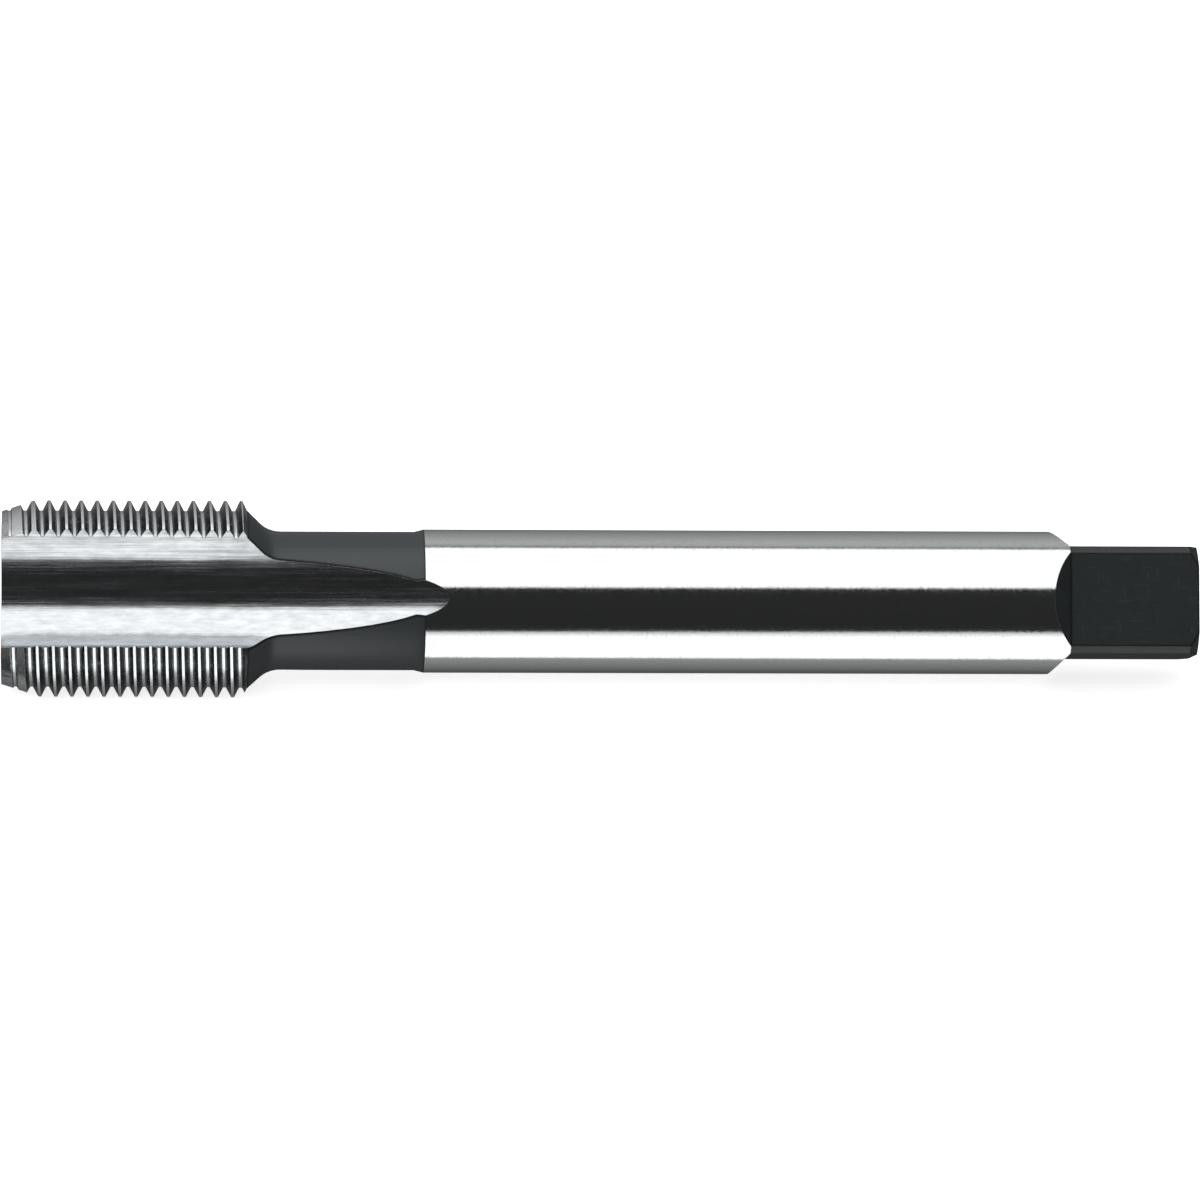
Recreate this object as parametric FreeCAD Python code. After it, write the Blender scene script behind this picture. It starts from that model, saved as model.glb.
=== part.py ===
import FreeCAD, Part
import math
import os

# Machine tap for a 3/8 inch parallel pipe thread, right-hand, with three straight flutes.
# The axis lies along X, with the cutting end at low X and the driving square at high X.
# While it is made, x is measured from the tip. Angles about the axis run from +Y towards +Z.

inch = 25.4

# Whole tool
overall_length = 100.0
shank_diameter = 12.0
shank_start = 35.2

# Thread, Whitworth form. Its last crest stands a little before the end of the thread
threads_per_inch = 19
thread_diameter = 16.662
thread_flank_angle = 27.5
thread_end = 20.05
last_crest_setback = 0.1

# Lead: the first threads are ground down to a cone, which falls away behind each cutting edge
lead_length = 2.95
lead_drop = 0.98
lead_relief = 0.21

# Shoulder and neck behind the thread, and the short cone from the neck up to the shank.
# The last crest's flank and the fillet at the neck are shares of the shoulder's height
last_flank_share = 0.31
last_flank_angle = 64.6
shoulder_angle = 44.4
shoulder_fillet_share = 0.95
neck_diameter = 11.6
neck_cone_length = 0.8

# Flutes, ground with a round-edged wheel that lifts out in a long run-out. The core and the
# floor's curve are shares of the thread's radius, the cutting corner's one of the floor's
flute_count = 3
core_share = 0.402113
wheel_diameter = 230.0
runout_setback = 7.4
floor_share = 0.57616
cutting_edge_angle = 29.8
cutting_face_lean = 9.5
cutting_corner_slope = 38.0
cutting_corner_share = 0.375
heel_edge_angle = 42.3
heel_slope = 59.6
heel_opening_slope = 41.0
heel_corner_radius = 1.0

# Driving square with milled flats that run out at 45 degrees
square_count = 4
square_width = 9.0
square_length = 10.8
square_corner_cut = 0.05
square_end_chamfer = 0.7
square_turn = 1.3

# Centre holes in both ends
centre_diameter = 3.35
centre_pilot_diameter = 1.6
centre_pilot_depth = 1.5
centre_half_angle = 30.0

# How far a cutter reaches past the metal that it removes
clear = 1.0

# Above the crests the thread's cutters stay this far apart
ridge_gap = 0.02

thread_pitch = inch / threads_per_inch
thread_radius = thread_diameter / 2
last_crest = thread_end - last_crest_setback
runout_start = thread_end - runout_setback
shank_radius = shank_diameter / 2
neck_radius = neck_diameter / 2
core_radius = thread_radius * core_share
floor_radius = thread_radius * floor_share
cutting_corner_radius = floor_radius * cutting_corner_share
wheel_radius = wheel_diameter / 2
flute_pitch_angle = 360.0 / flute_count
held_length = overall_length - square_length - (shank_diameter - square_width) / 2 - shank_start
held_middle = shank_start + held_length / 2

# The flute at the bottom opens straight down, so that the tool lies on two lands
flute_centre_offset = (heel_edge_angle - cutting_edge_angle) / 2
first_flute_angle = 270 + flute_centre_offset
top_edge_angle = first_flute_angle + flute_pitch_angle - 360 + cutting_edge_angle
land_angle = flute_pitch_angle - cutting_edge_angle - heel_edge_angle
top_land_angle = top_edge_angle + land_angle / 2
square_angle = first_flute_angle + 2 * flute_pitch_angle - square_turn

axis_x = FreeCAD.Vector(1, 0, 0)
origin = FreeCAD.Vector(0, 0, 0)


def sin(degrees):
    return math.sin(math.radians(degrees))


def cos(degrees):
    return math.cos(math.radians(degrees))


def tan(degrees):
    return math.tan(math.radians(degrees))


def polar(radius, degrees):
    """A point in a section plane: first the distance outwards, then the one sideways."""
    return radius * cos(degrees), radius * sin(degrees)


def crossing(start, slope, other, other_slope):
    """Where a line through start meets a line through other, each at its own slope."""
    run = other[0] - start[0]
    rise = other[1] - start[1]
    turn = sin(other_slope - slope)
    along = (run * sin(other_slope) - rise * cos(other_slope)) / turn
    return start[0] + along * cos(slope), start[1] + along * sin(slope)


def rounded_outline(corners, radii, place):
    """A closed wire through the corners. Each corner is rounded by its radius, or sharp at 0."""
    points = [place(corner) for corner in corners]
    entries = []
    count = len(points)
    for i in range(count):
        point = points[i]
        to_last = (points[i - 1] - point).normalize()
        to_next = (points[(i + 1) % count] - point).normalize()
        half = to_last.getAngle(to_next) / 2
        setback = radii[i] / math.tan(half)
        entries.append((point, to_last, to_next, half, setback, radii[i]))
    edges = []
    for i in range(count):
        point, to_last, to_next, half, setback, radius = entries[i]
        leave = point + to_next * setback
        if radius > 0:
            bisector = (to_last + to_next).normalize()
            middle = point + bisector * (radius / math.sin(half) - radius)
            edges.append(Part.Arc(point + to_last * setback, middle, leave).toShape())
        after = entries[(i + 1) % count]
        edges.append(Part.LineSegment(leave, after[0] + after[1] * after[4]).toShape())
    return Part.Wire(edges)


def blank():
    """The turned body: thread diameter, shoulder, neck, shank and both centre holes."""
    centre_radius = centre_diameter / 2
    pilot_radius = centre_pilot_diameter / 2
    centre_depth = (centre_radius - pilot_radius) / tan(centre_half_angle)
    pilot_end = centre_depth + centre_pilot_depth
    square_start = overall_length - square_length
    corner_radius = shank_radius - square_corner_cut
    shoulder_height = thread_radius - neck_radius
    last_flank = shoulder_height * last_flank_share
    step = (thread_end + last_flank / tan(last_flank_angle), thread_radius - last_flank)
    neck_start = crossing(step, -shoulder_angle, (0, neck_radius), 0)
    fillet = shoulder_height * shoulder_fillet_share
    corners = [
        (pilot_end, 0),
        (pilot_end, pilot_radius),
        (centre_depth, pilot_radius),
        (0, centre_radius),
        (0, thread_radius),
        (thread_end, thread_radius),
        step,
        neck_start,
        (shank_start - neck_cone_length, neck_radius),
        (shank_start, shank_radius),
        (square_start, shank_radius),
        (square_start, corner_radius),
        (overall_length - square_end_chamfer, corner_radius),
        (overall_length, corner_radius - square_end_chamfer),
        (overall_length, centre_radius),
        (overall_length - centre_depth, pilot_radius),
        (overall_length - pilot_end, pilot_radius),
        (overall_length - pilot_end, 0),
    ]
    radii = [fillet if corner is neck_start else 0 for corner in corners]
    outline = rounded_outline(corners, radii, lambda c: FreeCAD.Vector(c[0], 0, c[1]))
    return Part.Face(outline).revolve(origin, axis_x, 360)


def thread_groove():
    """One groove of the thread on the land that points up, with its middle at x = 0."""
    sharp_height = thread_pitch / 2 / tan(thread_flank_angle)
    # A sixth of the sharp triangle's height is missing at the crest and another at the root.
    # In a thread this fine both are left flat, from one flank straight across to the next
    cut_off = sharp_height / 6
    half_flat = cut_off * tan(thread_flank_angle)
    root = thread_radius + 2 * cut_off - sharp_height
    side = (thread_pitch - ridge_gap) / 2
    top = root + (side - half_flat) / tan(thread_flank_angle)
    corners = [
        FreeCAD.Vector(-side, 0, top),
        FreeCAD.Vector(-half_flat, 0, root),
        FreeCAD.Vector(half_flat, 0, root),
        FreeCAD.Vector(side, 0, top),
    ]
    section = Part.Face(Part.makePolygon(corners + [corners[0]]))
    section.rotate(origin, axis_x, -flute_pitch_angle / 3)
    groove = section.revolve(origin, axis_x, flute_pitch_angle * 2 / 3)
    # A land is so narrow that a ring tilted by the lead angle follows the helix to 0.003 mm
    middle_radius = (thread_radius + root) / 2
    lead_angle = math.degrees(math.asin(thread_pitch / (2 * math.pi * middle_radius)))
    groove.rotate(origin, FreeCAD.Vector(0, 0, 1), lead_angle)
    return groove


def thread_cut():
    """All grooves on all lands. From each land to the next the thread moves on by its share."""
    groove = thread_groove()
    grooves = []
    for land in range(flute_count):
        turn = land * flute_pitch_angle
        advance = (turn + top_land_angle - top_edge_angle) * thread_pitch / 360
        x = last_crest + advance + thread_pitch / 2
        while x > -thread_pitch / 2:
            copy = groove.copy()
            copy.rotate(origin, axis_x, top_land_angle - 90 + turn)
            copy.translate(axis_x * x)
            grooves.append(copy)
            x -= thread_pitch
    return grooves


def flute_section():
    """The wheel's round edge at the start of the run-out, as a face with +Z outwards."""
    floor_middle = core_radius + floor_radius
    edge = polar(thread_radius, -cutting_edge_angle)
    heel = polar(thread_radius, heel_edge_angle)
    cutting_side = (
        floor_middle - floor_radius * sin(cutting_corner_slope),
        -floor_radius * cos(cutting_corner_slope),
    )
    heel_side = (
        floor_middle - floor_radius * sin(heel_slope),
        floor_radius * cos(heel_slope),
    )
    outside = thread_radius + clear
    corners = [
        crossing(edge, cutting_face_lean, (outside, 0), 90),
        crossing(edge, cutting_face_lean, cutting_side, -cutting_corner_slope),
        crossing(cutting_side, -cutting_corner_slope, heel_side, heel_slope),
        crossing(heel_side, heel_slope, heel, heel_opening_slope),
        crossing(heel, heel_opening_slope, (outside, 0), 90),
    ]
    radii = [0, cutting_corner_radius, floor_radius, heel_corner_radius, 0]
    outline = rounded_outline(corners, radii, lambda c: FreeCAD.Vector(runout_start, c[1], c[0]))
    return Part.Face(outline)


def flute():
    """One flute: straight through the thread, then lifting out along the wheel's own curve."""
    section = flute_section()
    straight = section.extrude(FreeCAD.Vector(-runout_start - clear, 0, 0))
    wheel_centre = FreeCAD.Vector(runout_start, 0, core_radius + wheel_radius)
    lift = math.degrees(math.acos(1 - shank_radius / wheel_radius))
    runout = section.revolve(wheel_centre, FreeCAD.Vector(0, -1, 0), lift)
    return straight.fuse(runout)


def lead_relief_cut():
    """What the wheel takes off one land at the tip: outside a cone that is set to one side."""
    slope = lead_drop / lead_length
    reach = lead_length + 2 * lead_relief / slope
    tip_radius = thread_radius - lead_drop - slope * clear
    end_radius = thread_radius - lead_drop + slope * reach
    cone = Part.makeCone(tip_radius, end_radius, reach + clear, FreeCAD.Vector(-clear, 0, 0), axis_x)
    cone.translate(FreeCAD.Vector(0, lead_relief, 0))
    half = flute_pitch_angle / 2
    outside = (thread_radius + clear) / cos(half)
    corners = [
        FreeCAD.Vector(-clear, 0, 0),
        FreeCAD.Vector(-clear, *polar(outside, 90 - half)),
        FreeCAD.Vector(-clear, *polar(outside, 90 + half)),
    ]
    outline = Part.makePolygon(corners + [corners[0]])
    wedge = Part.Face(outline).extrude(axis_x * (reach + clear))
    return wedge.cut(cone)


def square_flat():
    """What is milled away above one flat, with the cutter's 45 degree ramp at its inner end."""
    depth = shank_radius - square_width / 2 + clear
    inner = overall_length - square_length
    corners = [
        FreeCAD.Vector(inner, -shank_diameter, square_width / 2),
        FreeCAD.Vector(overall_length + clear, -shank_diameter, square_width / 2),
        FreeCAD.Vector(overall_length + clear, -shank_diameter, square_width / 2 + depth),
        FreeCAD.Vector(inner - depth, -shank_diameter, square_width / 2 + depth),
    ]
    outline = Part.makePolygon(corners + [corners[0]])
    return Part.Face(outline).extrude(FreeCAD.Vector(0, 2 * shank_diameter, 0))


def around(cutter, count, first_angle):
    """Copies of a cutter that points up, turned about the axis, the first to the given angle."""
    copies = []
    for i in range(count):
        copy = cutter.copy()
        copy.rotate(origin, axis_x, first_angle - 90 + i * 360.0 / count)
        copies.append(copy)
    return copies


def machine_tap():
    tap = blank()
    for cutter in around(square_flat(), square_count, square_angle):
        tap = tap.cut(cutter)
    for cutter in around(flute(), flute_count, first_flute_angle):
        tap = tap.cut(cutter)
    for cutter in around(lead_relief_cut(), flute_count, top_land_angle):
        tap = tap.cut(cutter)
    tap = tap.cut(thread_cut())
    tap.translate(axis_x * -held_middle)
    return tap


if __name__ == "__main__":
    os.makedirs("parts", exist_ok=True)
    machine_tap().exportStep("parts/machine_tap.step")
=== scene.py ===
import math

import bmesh
import bpy
from mathutils import Matrix, Quaternion, Vector


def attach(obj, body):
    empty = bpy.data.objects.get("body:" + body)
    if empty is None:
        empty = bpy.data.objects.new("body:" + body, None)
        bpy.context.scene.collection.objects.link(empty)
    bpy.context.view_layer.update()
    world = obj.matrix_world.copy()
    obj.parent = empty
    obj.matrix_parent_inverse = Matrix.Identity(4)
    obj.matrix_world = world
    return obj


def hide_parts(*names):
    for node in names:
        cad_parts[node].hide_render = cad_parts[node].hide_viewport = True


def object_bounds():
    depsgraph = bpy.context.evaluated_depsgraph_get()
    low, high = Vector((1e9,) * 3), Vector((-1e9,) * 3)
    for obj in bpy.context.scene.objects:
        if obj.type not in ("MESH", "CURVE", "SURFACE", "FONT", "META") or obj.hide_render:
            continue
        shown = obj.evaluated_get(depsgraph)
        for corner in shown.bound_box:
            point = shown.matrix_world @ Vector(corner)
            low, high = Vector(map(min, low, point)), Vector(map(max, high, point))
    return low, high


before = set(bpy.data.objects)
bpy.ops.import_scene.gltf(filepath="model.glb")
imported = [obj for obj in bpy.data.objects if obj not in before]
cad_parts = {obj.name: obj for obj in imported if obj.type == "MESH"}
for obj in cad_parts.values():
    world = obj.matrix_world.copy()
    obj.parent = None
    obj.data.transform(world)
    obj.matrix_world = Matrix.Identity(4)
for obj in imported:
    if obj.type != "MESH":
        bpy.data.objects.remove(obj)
cad_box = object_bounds()

# A straight-flute machine tap, lying on two lands on a white table.
# The axis lies along X. Sizes are in millimetres and are measured from the tip.
MM = 0.001

THREAD_ROOT_RADIUS = 7.475
LAST_FLANK_END = 20.42
NECK_RADIUS = 5.8
SHANK_START = 35.2
SHANK_RADIUS = 6.0
SQUARE_RAMP_START = 87.7
SHANK_END = 89.2
FLUTE_ANGLE = 276.25
FLUTE_STEP = 120.0
RUNOUT_START = 12.65
WHEEL_MIDDLE = 118.35
# How far a point may stand off a surface and still count as on it
CLOSE = 0.02
# How much of a face's normal points straight outwards, to the side of that, or along the axis
OUTWARDS_TURNED = 0.3
SIDEWAYS_TURNED = 0.12
OUTWARDS_CREST = 0.9
OUTWARDS_ROUND = 0.98
ALONG_FLANK = 0.6
# Points nearer than this, in metres, are one point, and edges sharper than this angle are crisp
SAME_POINT = 1e-6
CRISP_DEGREES = 25

# One thread groove that the plain solid lacks, on the lower back land. Its cutter is the groove's
# section, as distance along and radius, swept round the land
GROOVE_SECTION = [(-0.65842, 8.52584), (0.65842, 8.52584), (0.1114, 7.47503), (-0.1114, 7.47503)]
GROOVE_PLACE = 17.588
GROOVE_LAND = 240.0
GROOVE_HALF_SWEEP = 40.0
GROOVE_STEPS = 48
GROOVE_LEAN = 1.543

tip_x = cad_box[0][0]
floor_z = cad_box[0][2]


def linear(hex_colour):
    """An sRGB hex colour as the linear RGBA that a shader takes."""
    values = []
    for i in (1, 3, 5):
        c = int(hex_colour[i:i + 2], 16) / 255
        values.append(c / 12.92 if c <= 0.04045 else ((c + 0.055) / 1.055) ** 2.4)
    return (*values, 1.0)


def add(tree, kind, settings=None, **links):
    """A node of this kind, with its settings, and with each named input linked or set."""
    node = tree.nodes.new(kind)
    for name, value in (settings or {}).items():
        setattr(node, name, value)
    for name, value in links.items():
        key = int(name[1:]) if name[0] == "i" and name[1:].isdigit() else name.replace("_", " ")
        socket = node.inputs[key]
        if isinstance(value, bpy.types.NodeSocket):
            tree.links.new(value, socket)
        else:
            socket.default_value = value
    return node


def new_material(name):
    """An empty material with its output and one Principled shader."""
    material = bpy.data.materials.new(name)
    material.use_nodes = True
    tree = material.node_tree
    tree.nodes.clear()
    shader = add(tree, "ShaderNodeBsdfPrincipled")
    add(tree, "ShaderNodeOutputMaterial", Surface=shader.outputs[0])
    return material, tree, shader


def stretched_noise(tree, length, width, detail=4.0, place=None):
    """Noise whose marks are as long and as wide as given, in millimetres, along X and across it."""
    place = place or add(tree, "ShaderNodeTexCoord").outputs["Object"]
    scale = (1 / (length * MM), 1 / (width * MM), 1 / (width * MM))
    mapping = add(tree, "ShaderNodeMapping", Vector=place, Scale=scale)
    noise = add(tree, "ShaderNodeTexNoise", Vector=mapping.outputs[0], Scale=1.0, Detail=detail,
                Roughness=0.6)
    return noise.outputs[0]


def bump(tree, shader, height, depth_mm, edge_mm):
    """Marks of this depth on a surface whose crisp edges are rounded by edge_mm."""
    rounded = add(tree, "ShaderNodeBevel", {"samples": 4}, Radius=edge_mm * MM)
    node = add(tree, "ShaderNodeBump", Height=height, Distance=depth_mm * MM,
               Normal=rounded.outputs[0])
    tree.links.new(node.outputs[0], shader.inputs["Normal"])


def ranged(tree, value, low, high, from_low=0.3, from_high=0.7):
    """A value carried over from one range to another, and held at its ends."""
    node = add(tree, "ShaderNodeMapRange", Value=value, From_Min=from_low, From_Max=from_high,
               To_Min=low, To_Max=high)
    return node.outputs[0]


def blended(tree, share, first, second):
    """A colour between two, by the share, each given as a hex colour."""
    mix = add(tree, "ShaderNodeMix", {"data_type": "RGBA"})
    tree.links.new(share, mix.inputs[0])
    mix.inputs[6].default_value = linear(first)
    mix.inputs[7].default_value = linear(second)
    return mix.outputs[2]


def edge_share(tree, radius_mm, low, high):
    """How near a point is to a crisp edge: 1 on the edge, 0 beyond the radius."""
    rounded = add(tree, "ShaderNodeBevel", {"samples": 8}, Radius=radius_mm * MM)
    flat = add(tree, "ShaderNodeNewGeometry")
    alike = add(tree, "ShaderNodeVectorMath", {"operation": "DOT_PRODUCT"}, i0=rounded.outputs[0],
                i1=flat.outputs["Normal"])
    return ranged(tree, alike.outputs["Value"], 1.0, 0.0, 1 - high, 1 - low)


def ground_shank_steel():
    # High-speed steel, cylindrically ground: a bright mirror with a fine grit all over
    material, tree, shader = new_material("ground_high_speed_steel_shank")
    shader.inputs["Metallic"].default_value = 1.0
    grit = stretched_noise(tree, 0.18, 0.3)
    tree.links.new(blended(tree, ranged(tree, grit, 0.0, 1.0, 0.56, 0.7), "#dcdfdf", "#cdd1d0"),
                   shader.inputs["Base Color"])
    tree.links.new(ranged(tree, grit, 0.06, 0.16), shader.inputs["Roughness"])
    bump(tree, shader, grit, 0.004, 0.08)
    return material


# Towards its heel side the floor leaves the one arc of the plain solid by these rises and falls
# in millimetres, each between two distances to the side
HEEL_SIDE_STEPS = [(0.6, 3.6, -0.2), (3.0, 4.9, 0.13), (4.95, 5.7, -0.06)]


def ground_flute_steel():
    # High-speed steel, ground lengthwise: long fine lines that draw the reflections out.
    # The real lines are finer than 0.05 mm, and are drawn coarser so that they show
    material, tree, shader = new_material("ground_high_speed_steel_flutes")
    shader.inputs["Metallic"].default_value = 1.0
    path = add(tree, "ShaderNodeAttribute", {"attribute_name": "wheel_path"}).outputs["Vector"]
    lines = stretched_noise(tree, 12.0, 0.14, detail=2.0, place=path)
    clouds = stretched_noise(tree, 1.6, 0.5, detail=5.0)
    tree.links.new(blended(tree, ranged(tree, clouds, 0.0, 1.0), "#bcc0c3", "#d9dcde"),
                   shader.inputs["Base Color"])
    tree.links.new(ranged(tree, lines, 0.14, 0.34, 0.4, 0.75), shader.inputs["Roughness"])
    height = add(tree, "ShaderNodeMath", {"operation": "MULTIPLY"}, i0=clouds, i1=0.006)
    height = add(tree, "ShaderNodeMath", {"operation": "MULTIPLY_ADD"}, i0=lines, i1=0.005,
                 i2=height.outputs[0])
    sideways = add(tree, "ShaderNodeSeparateXYZ", Vector=path).outputs[1]
    for start, end, rise in HEEL_SIDE_STEPS:
        step = add(tree, "ShaderNodeMapRange", {"interpolation_type": "SMOOTHSTEP"}, Value=sideways,
                   From_Min=start * MM, From_Max=end * MM)
        height = add(tree, "ShaderNodeMath", {"operation": "MULTIPLY_ADD"}, i0=step.outputs[0],
                     i1=rise, i2=height.outputs[0])
    bump(tree, shader, height.outputs[0], 1.0, 0.1)
    return material


def ground_crest_steel():
    # High-speed steel, thread-ground: bright narrow crests and roots with a trace of grit
    material, tree, shader = new_material("ground_high_speed_steel_crests")
    shader.inputs["Base Color"].default_value = linear("#eceeef")
    shader.inputs["Metallic"].default_value = 1.0
    grit = stretched_noise(tree, 0.2, 0.4)
    tree.links.new(ranged(tree, grit, 0.2, 0.32), shader.inputs["Roughness"])
    bump(tree, shader, grit, 0.003, 0.02)
    return material


def ground_flank_steel():
    # High-speed steel, thread-ground: flanks that mirror each other and so look dark,
    # with painted shade that makes their colour far darker than the crests' steel,
    # and a few bright nicks near the cutting corners
    material, tree, shader = new_material("ground_high_speed_steel_flanks")
    shader.inputs["Metallic"].default_value = 1.0
    nicks = stretched_noise(tree, 0.5, 0.6, detail=1.0)
    # Painted shade: the flanks' dark colour, with the nicks at the steel's own brightness
    tree.links.new(blended(tree, ranged(tree, nicks, 0.0, 1.0, 0.66, 0.70), "#868b8d", "#e4e6e8"),
                   shader.inputs["Base Color"])
    grit = stretched_noise(tree, 0.2, 0.4)
    tree.links.new(ranged(tree, grit, 0.14, 0.22), shader.inputs["Roughness"])
    bump(tree, shader, grit, 0.002, 0.02)
    return material


def oxide_black_steel():
    # Turned steel, blackened in steam: a thin dark oxide skin with a satin sheen,
    # and painted shade that makes it darker still along its edges
    material, tree, shader = new_material("steam_blackened_steel_neck")
    shader.inputs["Metallic"].default_value = 0.0
    # Painted shade: the colour goes near black along every crisp edge
    edge = edge_share(tree, 0.5, 0.0005, 0.006)
    tree.links.new(blended(tree, edge, "#303537", "#040505"), shader.inputs["Base Color"])
    tree.links.new(ranged(tree, edge, 0.4, 0.8, 0.0, 1.0), shader.inputs["Roughness"])
    grain = stretched_noise(tree, 0.15, 1.5)
    bump(tree, shader, grain, 0.003, 0.05)
    return material


def oxide_black_square():
    # Milled steel, blackened in steam: nearly black, with faint crossed cutter marks,
    # and with painted shade along its edges
    material, tree, shader = new_material("steam_blackened_steel_square")
    shader.inputs["Metallic"].default_value = 0.0
    across = stretched_noise(tree, 0.12, 1.5, detail=2.0)
    along = stretched_noise(tree, 1.5, 0.12, detail=2.0)
    marks = add(tree, "ShaderNodeMath", {"operation": "MAXIMUM"}, i0=across, i1=along)
    marked = blended(tree, ranged(tree, marks.outputs[0], 0.0, 1.0, 0.62, 0.78), "#1f2425",
                     "#363d3f")
    # Painted shade: the colour goes near black along every crisp edge
    edge = add(tree, "ShaderNodeMix", {"data_type": "RGBA"})
    tree.links.new(edge_share(tree, 0.3, 0.001, 0.01), edge.inputs[0])
    tree.links.new(marked, edge.inputs[6])
    edge.inputs[7].default_value = linear("#040505")
    tree.links.new(edge.outputs[2], shader.inputs["Base Color"])
    shader.inputs["Roughness"].default_value = 0.42
    bump(tree, shader, marks.outputs[0], 0.004, 0.1)
    return material


SHANK, NECK, CREST, FLANK, FLUTE, SQUARE = range(6)
FINISHES = (ground_shank_steel, oxide_black_steel, ground_crest_steel, ground_flank_steel,
            ground_flute_steel, oxide_black_square)


def region(face):
    """Which finish a face has, from where it lies: an index into the list of finishes."""
    centre = face.calc_center_median()
    x = (centre.x - tip_x) / MM
    radii = [math.hypot(v.co.y, v.co.z) / MM for v in face.verts]
    outwards = Vector((0, centre.y, centre.z)).normalized()
    facing = face.normal.dot(outwards)
    sideways = abs(face.normal.dot(Vector((1, 0, 0)).cross(outwards)))
    turned = facing > OUTWARDS_TURNED and sideways < SIDEWAYS_TURNED
    if x > SQUARE_RAMP_START:
        round_here = max(abs(r - SHANK_RADIUS) for r in radii) < CLOSE / 2
        plain = round_here and facing > OUTWARDS_ROUND and x < SHANK_END
        return SHANK if plain else SQUARE
    if x > SHANK_START:
        return SHANK if min(radii) > SHANK_RADIUS - CLOSE / 2 and turned else FLUTE
    if x > LAST_FLANK_END:
        return NECK if min(radii) > NECK_RADIUS - CLOSE and turned else FLUTE
    if min(radii) > THREAD_ROOT_RADIUS - CLOSE:
        if abs(face.normal.x) > ALONG_FLANK:
            return FLANK
        if facing > OUTWARDS_CREST:
            return CREST
    return FLUTE


def wheel_path(co):
    """Where the flute's wheel met this point: along the tap, to the side, and how far out."""
    turn = math.degrees(math.atan2(co.z, co.y)) - FLUTE_ANGLE
    turn = math.radians(turn - round(turn / FLUTE_STEP) * FLUTE_STEP)
    radius = math.hypot(co.y, co.z)
    past_start = max(co.x - tip_x - RUNOUT_START * MM, 0)
    to_middle = WHEEL_MIDDLE * MM - radius * math.cos(turn)
    return co.x, -radius * math.sin(turn), WHEEL_MIDDLE * MM - math.hypot(to_middle, past_start)


def rotate_all(bm, degrees, axis):
    """Turns the whole mesh about an axis through the origin."""
    bmesh.ops.rotate(bm, verts=bm.verts, cent=(0, 0, 0),
                     matrix=Matrix.Rotation(math.radians(degrees), 3, axis))


def groove_cutter():
    """The part of a ring that cuts one thread groove across the lower back land."""
    bm = bmesh.new()
    verts = [bm.verts.new((along * MM, 0, out * MM)) for along, out in GROOVE_SECTION]
    section = bm.faces.new(verts)
    rotate_all(bm, -GROOVE_HALF_SWEEP, "X")
    bmesh.ops.spin(bm, geom=[section, *section.edges, *section.verts], cent=(0, 0, 0),
                   axis=(1, 0, 0), dvec=(0, 0, 0), angle=math.radians(2 * GROOVE_HALF_SWEEP),
                   steps=GROOVE_STEPS, use_merge=False, use_duplicate=False)
    bmesh.ops.recalc_face_normals(bm, faces=bm.faces)
    rotate_all(bm, GROOVE_LEAN, "Z")
    rotate_all(bm, GROOVE_LAND, "X")
    bmesh.ops.translate(bm, verts=bm.verts, vec=(tip_x + GROOVE_PLACE * MM, 0, 0))
    mesh = bpy.data.meshes.new("groove_cutter")
    bm.to_mesh(mesh)
    bm.free()
    cutter = bpy.data.objects.new("groove_cutter", mesh)
    bpy.context.collection.objects.link(cutter)
    return cutter


def merged_copy():
    """The tap's own mesh with its points merged, and with the missing groove cut."""
    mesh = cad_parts["machine_tap"].data.copy()
    mesh.materials.clear()
    bm = bmesh.new()
    bm.from_mesh(mesh)
    bmesh.ops.remove_doubles(bm, verts=bm.verts, dist=SAME_POINT)
    bm.to_mesh(mesh)
    bm.free()
    whole = bpy.data.objects.new("machine_tap_whole", mesh)
    bpy.context.collection.objects.link(whole)
    cutter = groove_cutter()
    cut = whole.modifiers.new("groove", "BOOLEAN")
    cut.operation = "DIFFERENCE"
    cut.solver = "EXACT"
    cut.object = cutter
    shapes = bpy.context.evaluated_depsgraph_get()
    mesh = bpy.data.meshes.new_from_object(whole.evaluated_get(shapes))
    for spent in (whole, cutter):
        bpy.data.objects.remove(spent)
    return mesh


def dressed_tap():
    """The tap's own mesh, merged, with a finish for each surface and crisp edges between them."""
    mesh = merged_copy()
    mesh.name = "machine_tap_ground"
    bm = bmesh.new()
    bm.from_mesh(mesh)
    bm.normal_update()
    path = bm.verts.layers.float_vector.new("wheel_path")
    for vert in bm.verts:
        vert[path] = wheel_path(vert.co)
    for face in bm.faces:
        face.smooth = True
        face.material_index = region(face)
    for edge in bm.edges:
        faces = edge.link_faces
        crisp = len(faces) != 2 or faces[0].material_index != faces[1].material_index
        edge.smooth = not crisp and edge.calc_face_angle(math.pi) < math.radians(CRISP_DEGREES)
    bm.to_mesh(mesh)
    bm.free()
    for make in FINISHES:
        mesh.materials.append(make())
    tap = bpy.data.objects.new("machine_tap_ground", mesh)
    bpy.context.collection.objects.link(tap)
    return tap


# The tent's brightness by the angle about the tap's axis: 0 is level towards the camera, 90 is
# straight up. Two white panels stand above and below a dark gap, with grey cloth behind them
TENT = [(-180, 0.2), (-160, 0.13), (-158, 0.06), (-130, 0.11), (-100, 0.26), (-83, 0.34),
        (-80, 1.5), (-39, 1.5), (-30, 0.75), (-28, 0.025), (44, 0.025), (46, 1.5), (116, 1.5),
        (118, 0.24), (121, 0.26), (125, 0.5), (133, 0.5), (152, 0.36), (180, 0.2)]
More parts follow.
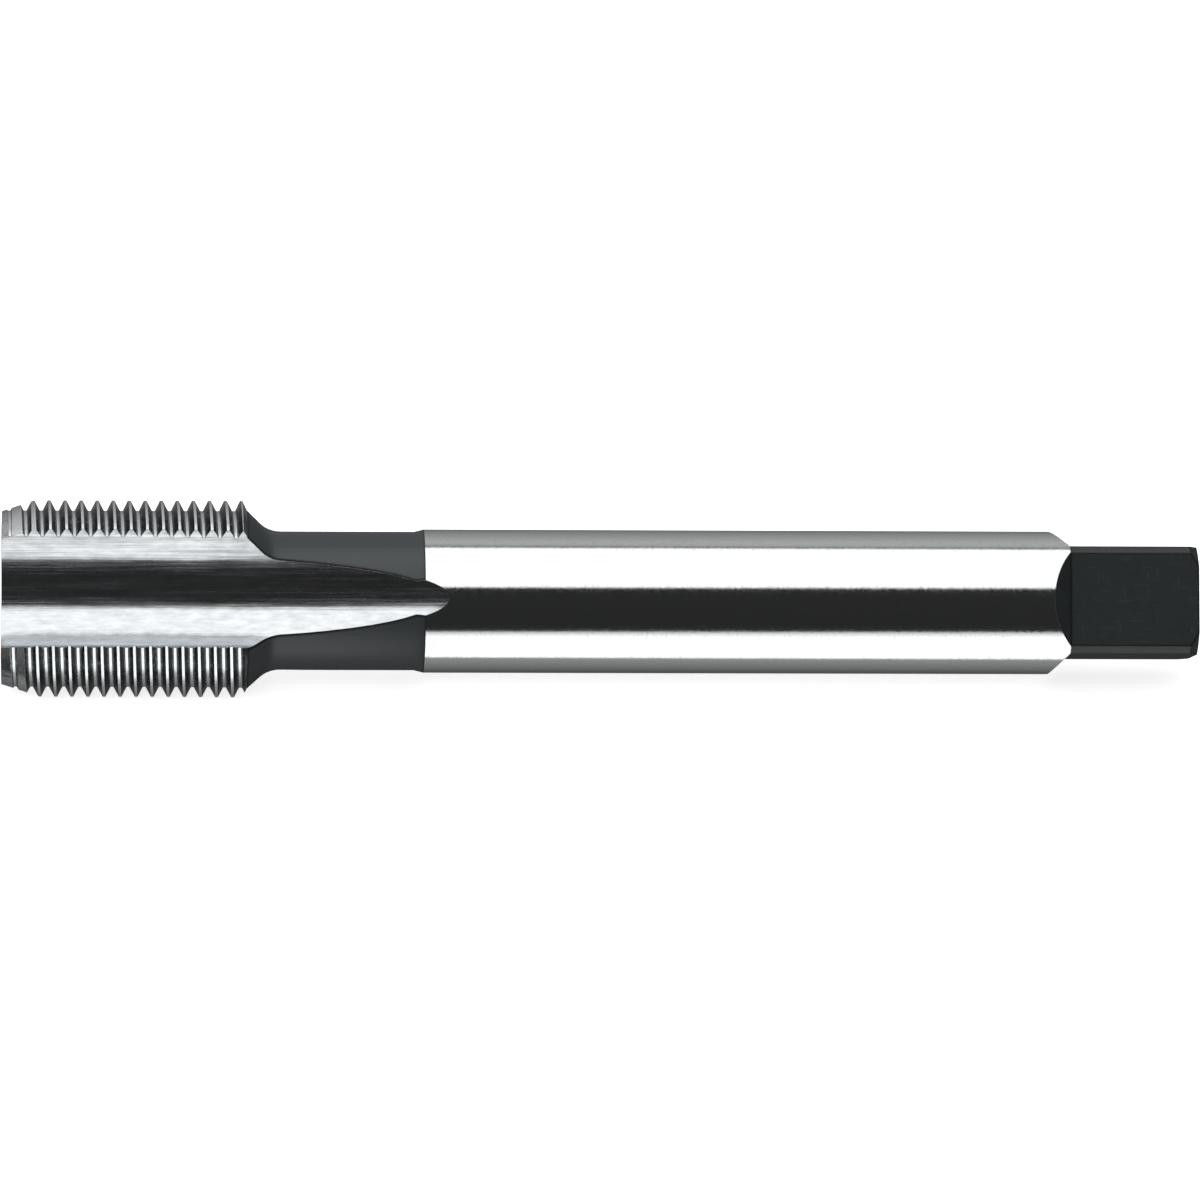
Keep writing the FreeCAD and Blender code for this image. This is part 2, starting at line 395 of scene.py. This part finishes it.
# How far the tent reaches along X, as a part of the mirrored ray's length: towards the tip's end
# by the same angle, where the lower panel is short, and towards the drive end
TIP_REACH = [(-180, 0.35), (-95, 0.35), (-90, 0.09), (-28, 0.09), (-20, 0.5), (180, 0.5)]
TIP_FADE = 0.05
DRIVE_REACH = 0.3
DRIVE_FADE = 0.12
# The gap past the panels, then the tent's two ends, which start and are whole that far along X
GAP_LEVEL = 0.04
END_LEVEL = 0.14
END_START = 0.42
END_FULL = 0.5
# The plain light that matt surfaces get from all round, and the table's glow to the camera
PLAIN_LEVEL = 0.5
TABLE_GLOW = 0.75


def ramp_by_angle(tree, angle, stops):
    """A value that follows the angle about the tap's axis, from stops in degrees."""
    share = add(tree, "ShaderNodeMapRange", Value=angle, From_Min=-math.pi, From_Max=math.pi)
    ramp = add(tree, "ShaderNodeValToRGB", Fac=share.outputs[0])
    elements = ramp.color_ramp.elements
    while len(elements) < len(stops):
        elements.new(0.5)
    for element, (degrees, level) in zip(elements, stops):
        element.position = degrees / 360 + 0.5
        element.color = (level, level, level, 1)
    return ramp.outputs[0]


def light_tent():
    """White panels above and below with dark gaps between them, which the bright steel mirrors."""
    world = bpy.data.worlds.new("light_tent")
    bpy.context.scene.world = world
    world.use_nodes = True
    tree = world.node_tree
    tree.nodes.clear()
    place = add(tree, "ShaderNodeTexCoord")
    parts = add(tree, "ShaderNodeSeparateXYZ", Vector=place.outputs["Generated"])
    towards = add(tree, "ShaderNodeMath", {"operation": "MULTIPLY"}, i0=parts.outputs[1], i1=-1.0)
    angle = add(tree, "ShaderNodeMath", {"operation": "ARCTAN2"}, i0=parts.outputs[2],
                i1=towards.outputs[0])
    # The panels and the cloth end in a dark gap before the tent's two dim ends
    reach = ramp_by_angle(tree, angle.outputs[0], TIP_REACH)
    past_reach = add(tree, "ShaderNodeMath", {"operation": "ADD"}, i0=parts.outputs[0], i1=reach)
    tip_share = ranged(tree, past_reach.outputs[0], 0.0, 1.0, -TIP_FADE, 0.0)
    drive_share = ranged(tree, parts.outputs[0], 1.0, 0.0, DRIVE_REACH, DRIVE_REACH + DRIVE_FADE)
    panel = add(tree, "ShaderNodeMath", {"operation": "MULTIPLY"}, i0=tip_share, i1=drive_share)
    tent = add(tree, "ShaderNodeMix", {"data_type": "RGBA"})
    tree.links.new(panel.outputs[0], tent.inputs[0])
    end = add(tree, "ShaderNodeMath", {"operation": "ABSOLUTE"}, i0=parts.outputs[0])
    dim = ranged(tree, end.outputs[0], GAP_LEVEL, END_LEVEL, END_START, END_FULL)
    tree.links.new(dim, tent.inputs[6])
    tree.links.new(ramp_by_angle(tree, angle.outputs[0], TENT), tent.inputs[7])
    path = add(tree, "ShaderNodeLightPath")
    plain = add(tree, "ShaderNodeMix", {"data_type": "RGBA"})
    tree.links.new(path.outputs["Is Camera Ray"], plain.inputs[0])
    plain.inputs[6].default_value = (PLAIN_LEVEL, PLAIN_LEVEL, PLAIN_LEVEL, 1)
    plain.inputs[7].default_value = (1, 1, 1, 1)
    shown = add(tree, "ShaderNodeMix", {"data_type": "RGBA"})
    tree.links.new(path.outputs["Is Glossy Ray"], shown.inputs[0])
    tree.links.new(plain.outputs[2], shown.inputs[6])
    tree.links.new(tent.outputs[2], shown.inputs[7])
    background = add(tree, "ShaderNodeBackground", Color=shown.outputs[2])
    add(tree, "ShaderNodeOutputWorld", Surface=background.outputs[0])


def table():
    """The white table: to the camera it is white, apart from the tap's own soft shadow."""
    bm = bmesh.new()
    bmesh.ops.create_grid(bm, x_segments=1, y_segments=1, size=3.0)
    bmesh.ops.translate(bm, verts=bm.verts, vec=(0, 0, floor_z))
    mesh = bpy.data.meshes.new("white_table")
    bm.to_mesh(mesh)
    bm.free()
    floor = bpy.data.objects.new("white_table", mesh)
    bpy.context.collection.objects.link(floor)
    material, tree, shader = new_material("matt_white_card")
    shader.inputs["Base Color"].default_value = linear("#f4f4f4")
    shader.inputs["Roughness"].default_value = 1.0
    shader.inputs["Specular IOR Level"].default_value = 0.0
    shader.inputs["Emission Color"].default_value = (1, 1, 1, 1)
    path = add(tree, "ShaderNodeLightPath")
    glow = add(tree, "ShaderNodeMath", {"operation": "MULTIPLY"}, i0=path.outputs["Is Camera Ray"],
               i1=TABLE_GLOW)
    tree.links.new(glow.outputs[0], shader.inputs["Emission Strength"])
    mesh.materials.append(material)
    floor.visible_glossy = False


def lamp(name, place, size, power):
    """A round soft lamp of this width and power that looks at the tap and isn't mirrored in it."""
    data = bpy.data.lights.new(name, "AREA")
    data.shape = "DISK"
    data.size = size
    data.energy = power
    light = bpy.data.objects.new(name, data)
    light.location = place
    light.rotation_euler = (-Vector(place)).to_track_quat("-Z", "Y").to_euler()
    light.visible_glossy = False
    bpy.context.collection.objects.link(light)


# The camera looks down on the tap from the front, a little from the tip's side
CAMERA_DISTANCE = 0.69
CAMERA_ELEVATION = 21.1
CAMERA_TURN = 3.4
CAMERA_ROLL = 0.17
CAMERA_LENS = 246.93
CAMERA_AIM = (-0.011428, 0.0, 0.00014)


def camera():
    """The camera that sees the tap as the photo does."""
    turn = math.radians(CAMERA_TURN)
    rise = math.radians(CAMERA_ELEVATION)
    away = Vector((-math.sin(turn), -math.cos(turn) * math.cos(rise),
                   math.cos(turn) * math.sin(rise)))
    # The tap's axis runs along the picture, with its far end a touch lower
    along = Vector((1, 0, 0))
    along = (along - away * along.dot(away)).normalized()
    right = Quaternion(away, math.radians(CAMERA_ROLL)) @ along
    axes = Matrix((right, away.cross(right), away)).transposed()
    data = bpy.data.cameras.new("camera")
    data.lens = CAMERA_LENS
    data.sensor_width = 36.0
    data.clip_start = 0.01
    data.clip_end = 20.0
    view = bpy.data.objects.new("camera", data)
    view.matrix_world = Matrix.Translation(Vector(CAMERA_AIM) + away * CAMERA_DISTANCE) @ axes.to_4x4()
    bpy.context.collection.objects.link(view)
    bpy.context.scene.camera = view


bpy.context.scene.view_settings.view_transform = "Standard"
camera()
light_tent()
table()
lamp("overhead_softbox", (0.0, 0.05, 0.6), 0.5, 1.6)
lamp("front_softbox", (-0.2, -0.5, 0.4), 0.4, 0.8)

tap = dressed_tap()
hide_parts("machine_tap")
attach(tap, "root")
